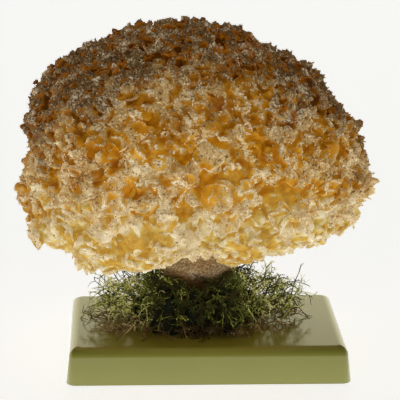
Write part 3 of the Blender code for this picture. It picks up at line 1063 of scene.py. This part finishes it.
def branches_from(paths, headings, lengths):
    """Starts, ways and lengths of branches, which leave on two sides by turns, shorter towards the tip."""
    steps = np.linspace(1, STRAND_STEPS - 2, BRANCHES_EACH).astype(int)
    starts, heading = paths[:, steps], headings[:, steps]
    flank = unit(np.cross(headings[:, :1], draw.normal(size=headings[:, :1].shape)))
    turns = np.where(np.arange(BRANCHES_EACH) % 2, 1, -1)[None, :, None]
    ways = unit(heading * 0.8 + flank * turns + draw.normal(0, 0.2, heading.shape))
    share = steps / STRAND_STEPS
    reach = lengths[:, None] * (0.48 - 0.30 * share) * draw.uniform(0.6, 1.3, (len(paths), BRANCHES_EACH))
    return starts.reshape(-1, 3), ways.reshape(-1, 3), reach.ravel()


def dressed(paths, headings, thickness, leaf, leaves, tone):
    """A stem and its leaves for each path, with painted shade: the tone at its foot is lower than at its tip.
    """
    parts = []
    stems, stem_faces = stems_along(paths, headings, thickness)
    blades, blade_faces = leaves_along(paths, headings, leaf, leaves)
    for points, faces, wood in ((stems, stem_faces, STEM), (blades, blade_faces, LEAF)):
        share = np.linspace(0, 1, points.shape[1])[None, :, None]
        # painted shade: the tone rises from three tenths at the foot, deep in the tuft, to the whole at the
        # tip
        tones = tone[:, None, None] * (0.3 + 0.7 * share) + np.zeros(points.shape[:3])
        parts.append((points, faces, {"tone": tones, "wood": np.full(points.shape[:3], wood)}))
    return parts


# %% Grow the tufts
draw = np.random.default_rng(MOSS_SEED)  # its own seed, so the moss stays as it is when the head changes
# the tones are painted light and shade as well as the moss's own colour: low and dark in the tufts in front,
# which the head shades, and high and pale at the lit ends
MOSS = {
    # strands, thickness, leaf size, tone from, tone to, longest strand, share of the box that is dense
    "moss_left": (215, 0.70, 1.2, 0.35, 2.05, 40.0, 0.40),
    "moss_front_left": (120, 0.60, 1.3, 0.0, 0.95, 27.0, 0.74),
    "moss_front": (92, 0.70, 1.4, 0.0, 0.50, 22.0, 0.74),
    "moss_front_right": (125, 0.75, 1.4, 0.0, 0.85, 28.0, 0.74),
    "moss_right": (205, 0.75, 1.3, 0.35, 1.90, 36.0, 0.42),
    "moss_back_right": (75, 0.7, 1.7, 0.2, 0.9, 24.0, 0.74),
    "moss_back": (65, 0.7, 1.7, 0.2, 0.9, 20.0, 0.80),
    "moss_back_left": (75, 0.7, 1.7, 0.2, 0.95, 24.0, 0.74),
}
CLIMBERS = {
    # strands that stand round the stalk and reach the head, their angles about it and their feet's heights
    "moss_left": (22, -205, -165, 40, 57),
    "moss_front_left": (50, -165, -110, 40, 56),
    "moss_right": (24, -20, 20, 40, 57),
    "moss_front_right": (54, -76, -20, 40, 56),
    "moss_front": (26, -122, -68, 36, 49),
}
CLIMB_RADII, CLIMB_LENGTHS = (21.0, 31.0), (9, 15)
STRAND_CURL, STRAND_DROOP = 2.6, 0.8
BRANCH_CURL, BRANCH_DROOP = 2.0, 0.3
BRANCH_THICKNESS, BRANCH_LEAF = 0.75, 0.8  # shares of the strand's own
CREEPING_SHARE = 0.17  # how many strands lie low on the plinth, dry and brown
SHORTEST_STRAND = 9.0
moss_floor = plinth_high[2] + 0.4
INNER_SHARE = 0.34  # how far a tuft's densest place lies from its middle towards the stalk


def climb(count, first, last, low, high):
    """Starts and ways of strands that point up and outwards, with their feet in these ranges."""
    around, radius = np.radians(draw.uniform(first, last, count)), draw.uniform(*CLIMB_RADII, count)
    outward = spokes(around)
    starts = stalk_foot + outward * radius[:, None]
    starts[:, 2] = draw.uniform(low, high, count)
    return starts, unit(outward * 0.5 + draw.normal(0, 0.4, (count, 3)) + 0.9 * UP)


def sow(name, strands, middle, half, outward, longest):
    """Starts, ways and lengths. Most strands grow from a dome over the footprint."""
    around, out = draw.uniform(0, TURN, strands), np.sqrt(draw.random(strands))
    spoke = spokes(around) * out[:, None]
    starts = middle - outward * half * 0.12 + spoke * half * 0.95
    starts[:, 2] = moss_floor + 2 * half[2] * np.sqrt(1 - 0.9 * out**2) * draw.random(strands) ** 0.5
    upwards = UP * draw.uniform(-0.25, 1.2, (strands, 1))
    ways = spoke * 0.6 + outward * draw.uniform(-0.2, 1.0, (strands, 1))
    ways = unit(ways + draw.normal(0, 0.45, (strands, 3)) + upwards)
    creeping = draw.random(strands) < CREEPING_SHARE
    starts[creeping, 2] = moss_floor + draw.uniform(0.5, 4.0, creeping.sum())
    ways[creeping] = unit(ways[creeping] * (1, 1, 0.1) + outward * 0.3)
    lengths = SHORTEST_STRAND + (longest - SHORTEST_STRAND) * draw.random(strands) ** 1.6
    if name in CLIMBERS:
        count, *ranges = CLIMBERS[name]
        starts[:count], ways[:count] = climb(count, *ranges)
        lengths[:count] = draw.uniform(*CLIMB_LENGTHS, count)
    return starts, ways, lengths


def shade_mound(peak, half, dense, rows=12, columns=28):
    """A dome over the dense share of the tuft's footprint, roughened by waves. The moss material paints it
    near black, as painted shade.
    """
    rise = np.linspace(0, math.pi / 2, rows)[:, None, None]
    points = peak + dense * half * np.cos(rise) * spokes(ring(columns))
    points[..., 2:] = moss_floor + 2 * half[2] * min(dense + 0.15, 0.9) * np.sin(rise)
    points = points.reshape(-1, 3)
    rough = 1 + 0.16 * ripple(points, 9)[:, None] + 0.08 * ripple(points, 3)[:, None]
    base = np.array([*peak[:2], moss_floor])
    values = {"tone": np.zeros(len(points)), "wood": np.full(len(points), SHADE_MOUND)}
    return base + (points - base) * rough, tube_faces(rows, columns), values


def tuft(name, strands, thickness, leaf, tone_low, tone_high, longest, dense):
    """A tuft's strands with their branches and leaves, and the dark dome of painted shade in its middle."""
    low, high = (np.array(corner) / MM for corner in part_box(name))
    middle, half = (low + high) / 2, (high - low) / 2
    outward = unit(np.array([*(middle[:2] - stalk_axis), 0.0]))
    starts, ways, lengths = sow(name, strands, middle, half, outward, longest)
    curl = draw.uniform(-STRAND_CURL, STRAND_CURL, strands)
    paths, headings = curling_paths(starts, ways, lengths, STRAND_STEPS, curl, STRAND_DROOP)
    branches = branches_from(paths, headings, lengths)
    branch_curl = draw.uniform(-BRANCH_CURL, BRANCH_CURL, len(branches[0]))
    branch_paths, branch_headings = curling_paths(*branches, BRANCH_STEPS, branch_curl, BRANCH_DROOP)
    for wandering in (paths, branch_paths):
        wandering[..., 2] = np.maximum(wandering[..., 2], moss_floor + thickness / 2)
    tones = tone_low + (tone_high - tone_low) * draw.random(strands) ** 1.5
    thick = thickness * draw.uniform(0.7, 1.4, strands)
    leaves = leaf * draw.uniform(0.7, 1.2, strands)
    own = np.repeat(np.arange(strands), BRANCHES_EACH)
    thin, small = thick[own] * BRANCH_THICKNESS, leaves[own] * BRANCH_LEAF
    return joined(
        [
            *dressed(paths, headings, thick, leaves, STRAND_LEAVES, tones),
            *dressed(branch_paths, branch_headings, thin, small, BRANCH_LEAVES, tones[own]),
            shade_mound(middle - outward * half * INNER_SHARE, half, dense),
        ]
    )


GREENS = (
    (0.05, (0.004, 0.007, 0.002)), (0.32, (0.026, 0.042, 0.007)),
    (0.56, (0.14, 0.175, 0.026)), (0.80, (0.48, 0.50, 0.085)),
    (1.00, (0.88, 0.85, 0.36)),
)
DRY_HEIGHTS = (0.0255, 0.035)  # metres, over which the strands turn from dry to green


def moss_material():
    recipe = Recipe("moss")
    tone, wood, patch = recipe.value("tone"), recipe.value("wood"), recipe.noise(12, 2)
    green = recipe.ramp(tone + (patch - 0.5) * 0.7, *GREENS)
    low = 1 - (recipe.height() + (patch - 0.5) * 0.012).step(*DRY_HEIGHTS)
    dry = recipe.mix(tone, (0.010, 0.005, 0.002), (0.30, 0.155, 0.075))
    leafy = recipe.mix(low * 0.8, green, dry)
    stemmed = recipe.mix(wood.step(STEM - 0.6, STEM - 0.4) * 0.35, leafy, (0.10, 0.06, 0.02))
    # painted shade: the dome in each tuft's middle is near black
    colour = recipe.mix(wood.step(SHADE_MOUND - 0.6, SHADE_MOUND - 0.4), stemmed, (0.006, 0.007, 0.003))
    return recipe.surface(
        Base_Color=colour,
        Roughness=0.6,
        Specular_IOR_Level=0.12,
        # painted glow: the emission lifts the pale strands as if light shone through them
        Emission_Color=colour,
        Emission_Strength=0.26,
    )


moss = moss_material()
for name, habit in MOSS.items():
    make_piece(f"{name}_stems", *tuft(name, *habit), moss, "moss", (name,))

# %% [markdown]
# ## The plinth
#
# The plinth is moulded in one, with sides that lean in so that it leaves its mould, and rounded edges. It
# is glossy, so every facet would show in its reflections. It is therefore made again as a fine surface: a
# closed profile carried round a rounded rectangle, from the hole for the screw, over the top, down the
# outside, under the rim and back up inside.

# %% Build the plinth
PLINTH_ROUNDING = 6.0
PLINTH_WALL = 3.0
PLINTH_DRAFT = math.tan(math.radians(4.3))
EDGE_TURN = (90, 184)  # degrees, from straight up to square with the leaning side
RIM_BEVEL = 0.4
FLAT_STEPS = (0.5, 2.0, 8.0, 30.0)  # where rings lie on the flat of the top, inwards from its rounded edge
CORNER_SHRINK, SHRINK_END, SMALLEST_CORNER = 0.4, 7.0, 1.5  # corners are sharper further in
HOLE_RADIUS = 2.3


def arc(middle, radius, start, end, count):
    """Points of a profile's round stretch: inset and height at angles in degrees."""
    angle = np.radians(np.linspace(start, end, count))
    return [(middle[0] + radius * c, middle[1] + radius * s) for c, s in zip(np.cos(angle), np.sin(angle))]


def plinth_profile():
    """Points (inset from the foot's outline, height), from the hole's top edge round to its lower edge."""
    top = plinth_high[2]
    lean = PLINTH_DRAFT * top
    outer = arc((lean + PLINTH_ROUNDING, top - PLINTH_ROUNDING), PLINTH_ROUNDING, *EDGE_TURN, 16)
    inner_round = PLINTH_ROUNDING - PLINTH_WALL
    ceiling = top - PLINTH_WALL
    inner = arc((PLINTH_WALL + lean + inner_round, ceiling - inner_round), inner_round, *EDGE_TURN[::-1], 8)
    rim = [(0.0, RIM_BEVEL), (RIM_BEVEL, 0.0), (PLINTH_WALL - RIM_BEVEL, 0.0), (PLINTH_WALL, RIM_BEVEL)]
    flat = [(lean + PLINTH_ROUNDING + step, top) for step in FLAT_STEPS[::-1]]
    under = [(lean + PLINTH_ROUNDING + step, ceiling) for step in FLAT_STEPS]
    return flat + outer + rim + inner + under


def plinth_grid(corner_points=14, side_points=10):
    """Each profile point becomes a ring: a rounded rectangle inset from the foot's outline."""
    middle = (plinth_low + plinth_high) / 2
    half = (plinth_high - plinth_low) / 2
    profile = plinth_profile()
    rings = []
    for inset, height in profile:
        radius = max(PLINTH_ROUNDING - CORNER_SHRINK * min(inset, SHRINK_END), SMALLEST_CORNER)
        wide, deep = half[0] - inset - radius, half[1] - inset - radius
        turn = np.radians(np.linspace(0, 90, corner_points))
        corners = []
        for quarter, (x, y) in enumerate([(wide, deep), (-wide, deep), (-wide, -deep), (wide, -deep)]):
            angle = turn + quarter * math.pi / 2
            corners.append(np.array([x, y]) + radius * spokes(angle)[:, :2])
        outline = []
        for here, after in zip(corners, corners[1:] + corners[:1]):
            share = np.linspace(0, 1, side_points + 2)[1:-1, None]
            outline += [here, here[-1] * (1 - share) + after[0] * share]
        outline = np.concatenate(outline)
        rings.append(np.column_stack([outline + middle[:2], np.full(len(outline), height)]))
    around = np.arctan2(rings[0][:, 1] - stalk_axis[1], rings[0][:, 0] - stalk_axis[0])
    hole = stalk_axis + HOLE_RADIUS * spokes(around)[:, :2]
    upper, lower = (np.column_stack([hole, np.full(len(hole), profile[end][1])]) for end in (0, -1))
    grid = np.stack([upper, *rings, lower, upper])
    rows, columns = grid.shape[0] - 1, grid.shape[1]
    faces = grid_quads(rows + 1, columns, wrap=True) % (rows * columns)
    return grid[:-1].reshape(-1, 3), faces[:, ::-1]


def plinth_material():
    recipe = Recipe("plinth_plastic")
    speck = recipe.noise(0.9, 2, 0.6).step(0.80, 0.83)
    cloud = recipe.noise(40, 2)
    olive = recipe.mix(cloud, (0.252, 0.250, 0.046), (0.288, 0.286, 0.058))
    colour = recipe.mix(speck * 0.7, olive, (0.02, 0.02, 0.01))
    return recipe.surface(
        Base_Color=colour,
        Roughness=0.10 + recipe.noise(2.5, 3) * 0.06,
        IOR=1.5,
        Normal=recipe.bump(recipe.noise(9, 2), 0.02),
    )


points, faces = plinth_grid()
make_piece("plinth_shell", points, [faces], {}, plinth_material(), "plinth_plastic", ("plinth",))

# %% [markdown]
# ## The screw and washer
#
# They keep the frame's shapes. Turned steel is scratched round its own axis, so the noise is stretched to
# fine rings, and zinc leaves slightly uneven colour.

# %% Finish the steel
SCREW_MIDDLE = (*(stalk_axis * MM), 0.019)  # metres
RINGS_PER_METRE = 4000.0


def steel_material():
    """Fine rings: noise on nothing but the distance from the screw's middle."""
    recipe = Recipe("steel")
    ends = {0: recipe.place(), 1: SCREW_MIDDLE}
    offset = recipe.add("ShaderNodeVectorMath", {"operation": "DISTANCE"}, ends, output="Value")
    inputs = {"W": offset, "Scale": RINGS_PER_METRE}
    rings = recipe.add("ShaderNodeTexNoise", {"noise_dimensions": "1D"}, inputs, output="Fac")
    colour = recipe.mix(recipe.noise(2.0, 2), (0.46, 0.46, 0.47), (0.62, 0.62, 0.60))
    return recipe.surface(
        Base_Color=colour, Metallic=1.0, Roughness=0.25 + rings * 0.2, Normal=recipe.bump(rings, 0.02)
    )


steel = steel_material()
for name in ("fixing_screw", "screw_washer"):
    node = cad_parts[name]
    node.data.materials.clear()
    node.data.materials.append(steel)

# %% [markdown]
# ## Floor and light
#
# The object stands on a pale light table: the floor itself glows softly, so the underside of the head is
# bright and there is hardly any shadow. The sky is bright near the horizon and dark overhead, which is what
# the glossy plinth reflects: pale on its top and sides, dark along its front edge. A wide disc of light just
# above the table adds to its glow, and a broad soft light at the front lifts the faces of the lobes.

# %% Set the stage
FLOOR_HALF = 4000.0
SKY_BY_HEIGHT = (0.30, (1.0, 0.95, 0.66)), (0.40, (0.07, 0.07, 0.06)), (0.75, (0.02, 0.02, 0.02))
SKY_BY_DEPTH = (0.35, (0.10, 0.10, 0.10)), (0.60, (1.0, 1.0, 1.0))  # from in front to behind
SKY_STRENGTH = 1.7


def make_floor():
    mesh = bpy.data.meshes.new("floor")
    half = FLOOR_HALF * MM
    corners = [(-half, -half, 0), (half, -half, 0), (half, half, 0), (-half, half, 0)]
    mesh.from_pydata(corners, [], [(0, 1, 2, 3)])
    floor = bpy.data.objects.new("floor", mesh)
    bpy.context.scene.collection.objects.link(floor)
    glow = {"Emission_Color": (0.98, 0.985, 1.0), "Emission_Strength": 0.79}
    mesh.materials.append(Recipe("floor").surface(Base_Color=(0.58, 0.585, 0.60), Roughness=0.6, **glow))


def make_sky():
    """A backdrop that is bright low down behind the object, and a dim room overhead and in front."""
    recipe = Recipe("sky", "worlds", "Background")
    depth, height = recipe.axes(recipe.add("ShaderNodeTexCoord", output="Generated"))[1:]
    by_depth = recipe.ramp(depth * 0.5 + 0.5, *SKY_BY_DEPTH)
    colour = recipe.tint(recipe.ramp(height, *SKY_BY_HEIGHT), by_depth)
    bpy.context.scene.world = recipe.surface(Color=colour, Strength=SKY_STRENGTH)


def make_light(name, place, aim, size, power, colour=(1.0, 0.98, 0.94)):
    """A round area light that faces a point."""
    light = bpy.data.lights.new(name, "AREA")
    light.shape = "DISK"
    light.size = size * MM
    light.energy = power
    light.color = colour
    lamp = bpy.data.objects.new(name, light)
    bpy.context.scene.collection.objects.link(lamp)
    lamp.location = Vector(place) * MM
    lamp.rotation_euler = (Vector(aim) - Vector(place)).to_track_quat("-Z", "Y").to_euler()
    lamp.visible_camera = False
    return lamp


make_floor()
make_sky()
make_light("table_glow", (0, 0, 0.6), (0, 0, 100), size=2600, power=7.0)
front = make_light("front_light", (-300, -1500, 60), CAMERA_TARGET, size=800, power=3.0)
front.visible_glossy = False
bpy.context.scene.view_settings.view_transform = "Standard"
